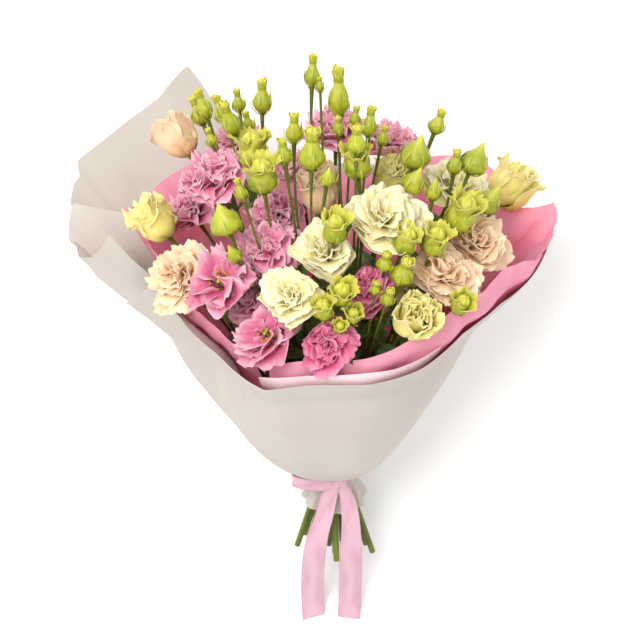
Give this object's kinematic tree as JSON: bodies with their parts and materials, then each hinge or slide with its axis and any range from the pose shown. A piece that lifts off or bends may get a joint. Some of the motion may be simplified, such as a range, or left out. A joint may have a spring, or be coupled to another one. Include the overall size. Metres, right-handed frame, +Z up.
{
  "type": "lisianthus bouquet",
  "caption": "Hand-tied bouquet of ruffled lisianthus blooms and buds in white paper and pink tissue with a satin ribbon, lying on its back.",
  "frame": {"origin": "centre of the bounding box's footprint, on the surface the bouquet lies on", "axes": "+Z up from the surface, +Y from the stem ends towards the blooms, +X to the right seen from above with the blooms away from the viewer"},
  "size_m": [0.4872, 0.594, 0.3417],
  "materials": {
    "greenery": "fresh stems, stalks and yellow-green buds, soft sheen; wood stands in for plant tissue",
    "pink_petals": "fresh ruffled petals, soft matte",
    "cream_petals": "fresh ruffled petals, soft matte",
    "peach_petals": "fresh ruffled petals, soft matte",
    "yellow_petals": "fresh half-open petals, soft matte",
    "white_paper": "smooth matte wrapping paper",
    "pale_tissue": "thin matte wrapping sheet",
    "pink_tissue": "thin crumpled matte wrapping sheet",
    "satin_ribbon": "satin",
    "binding_tape": "dull floral binding tape"
  },
  "bodies": {
    "root": {"spray_1": "greenery", "spray_2": "greenery", "spray_3": "greenery", "spray_4": "greenery", "spray_5": "greenery", "spray_6": "greenery", "spray_7": "greenery", "spray_8": "greenery", "spray_9": "greenery", "spray_10": "greenery", "spray_11": "greenery", "spray_12": "greenery", "spray_13": "greenery", "spray_14": "greenery", "spray_15": "greenery", "bloom_peach_top_left": "peach_petals", "bloom_pink_left_high": "pink_petals", "bloom_pink_left_side": "pink_petals", "bloom_pink_back_left": "pink_petals", "bloom_peach_left": "peach_petals", "bloom_pink_open_left": "pink_petals", "bloom_pink_mid_high": "pink_petals", "bloom_pink_mid_low": "pink_petals", "bloom_pink_shade": "pink_petals", "bloom_cream_mid": "cream_petals", "bloom_cream_low": "cream_petals", "bloom_cream_big": "cream_petals", "bloom_yellow_half": "yellow_petals", "bloom_cream_right": "cream_petals", "bloom_yellow_right": "yellow_petals", "bloom_peach_right": "peach_petals", "bloom_peach_low_right": "peach_petals", "bloom_cream_low_right": "cream_petals", "bloom_yellow_low": "yellow_petals", "bloom_pink_bright": "pink_petals", "bloom_pink_single": "pink_petals", "bloom_pink_small": "pink_petals", "bloom_pink_top": "pink_petals", "bloom_pink_top_right": "pink_petals", "bloom_peach_middle": "peach_petals", "bloom_yellow_left": "yellow_petals", "bloom_pink_behind": "pink_petals", "wrap_front": "white_paper", "wrap_left": "white_paper", "wrap_back": "white_paper", "liner_front": "pale_tissue", "tissue_left": "pink_tissue", "tissue_right": "pink_tissue", "ribbon": "satin_ribbon", "stem_tie": "binding_tape"}
  },
  "joints": []
}
